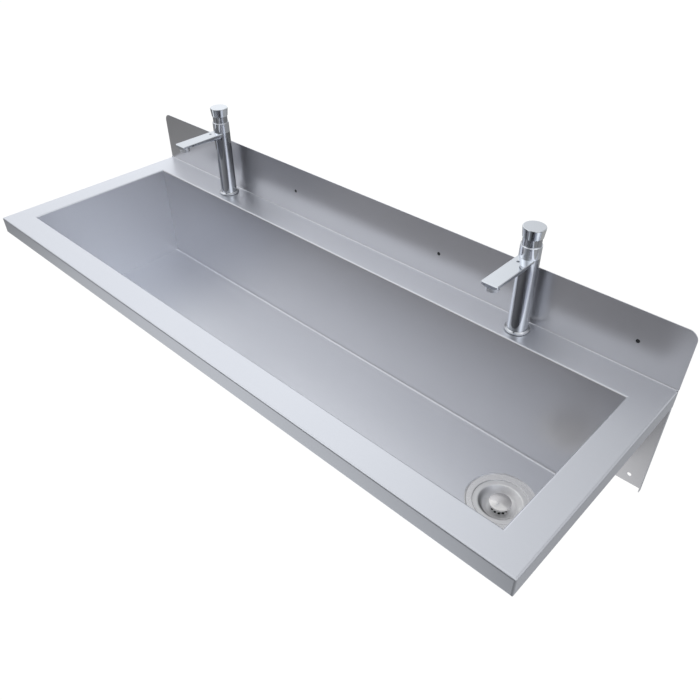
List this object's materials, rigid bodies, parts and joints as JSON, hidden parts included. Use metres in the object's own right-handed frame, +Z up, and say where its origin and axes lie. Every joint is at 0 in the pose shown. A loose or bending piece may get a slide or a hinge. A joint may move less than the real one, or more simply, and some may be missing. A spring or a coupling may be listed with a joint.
{
  "type": "wall-hung wash trough",
  "caption": "Long rectangular wash trough in folded steel sheet with a splashback, two self-closing push taps with flat spouts and a round basket strainer in its floor.",
  "frame": {"origin": "on the wall plane, midway along the trough, at the height of the row of wall screws", "axes": "+X to the right along the trough as the user faces it, +Y into the wall, +Z up"},
  "size_m": [1.2, 0.41, 0.4439],
  "materials": {
    "sheet_steel": "fine satin grain along the trough",
    "strainer_steel": "turned satin, with fine rings",
    "polished_steel": "polished",
    "chrome": "bright plated",
    "brass": "machined",
    "rubber": "matte",
    "fibre": "pressed fibre",
    "white_plastic": "moulded",
    "spring_steel": "drawn wire"
  },
  "bodies": {
    "trough": {"deck_panel": "sheet_steel", "trough_wrap": "sheet_steel", "left_end_wall": "sheet_steel", "right_end_wall": "sheet_steel", "back_plate": "sheet_steel", "strainer_body": "strainer_steel", "flange_gasket": "rubber", "floor_washer": "rubber", "friction_ring": "fibre", "locknut": "brass", "left_base_seal": "rubber", "left_base_ring": "chrome", "left_tap_body": "chrome", "left_spout": "chrome", "left_aerator": "chrome", "left_aerator_insert": "white_plastic", "left_aerator_washer": "rubber", "left_neck": "chrome", "left_cartridge_sleeve": "brass", "left_return_spring": "spring_steel", "left_inlet_shank": "brass", "left_deck_washer": "rubber", "left_clamp_washer": "brass", "right_base_seal": "rubber", "right_base_ring": "chrome", "right_tap_body": "chrome", "right_spout": "chrome", "right_aerator": "chrome", "right_aerator_insert": "white_plastic", "right_aerator_washer": "rubber", "right_neck": "chrome", "right_cartridge_sleeve": "brass", "right_return_spring": "spring_steel", "right_inlet_shank": "brass", "right_deck_washer": "rubber", "right_clamp_washer": "brass", "backnuts": "brass", "grub_screws": "spring_steel"},
    "basket": {"basket": "strainer_steel", "basket_knob": "polished_steel", "stopper_seal": "rubber"},
    "left_button": {"left_push_button": "chrome", "left_valve_stem": "brass", "left_piston": "white_plastic", "left_piston_seal": "rubber", "left_valve_disc": "rubber"},
    "right_button": {"right_push_button": "chrome", "right_valve_stem": "brass", "right_piston": "white_plastic", "right_piston_seal": "rubber", "right_valve_disc": "rubber"}
  },
  "joints": [
    {"name": "left_button_press", "type": "slide", "parent": "trough", "child": "left_button", "axis": [0, 0, -1], "range_m": [0, 0.007], "stiffness_N_per_m": 1500, "springref_m": -0.01, "deforming": ["left_return_spring"]},
    {"name": "right_button_press", "type": "slide", "parent": "trough", "child": "right_button", "axis": [0, 0, -1], "range_m": [0, 0.007], "stiffness_N_per_m": 1500, "springref_m": -0.01, "deforming": ["right_return_spring"]},
    {"name": "basket_lift", "type": "slide", "parent": "trough", "child": "basket", "axis": [0, 0, 1], "range_m": [0, 0.27]}
  ]
}
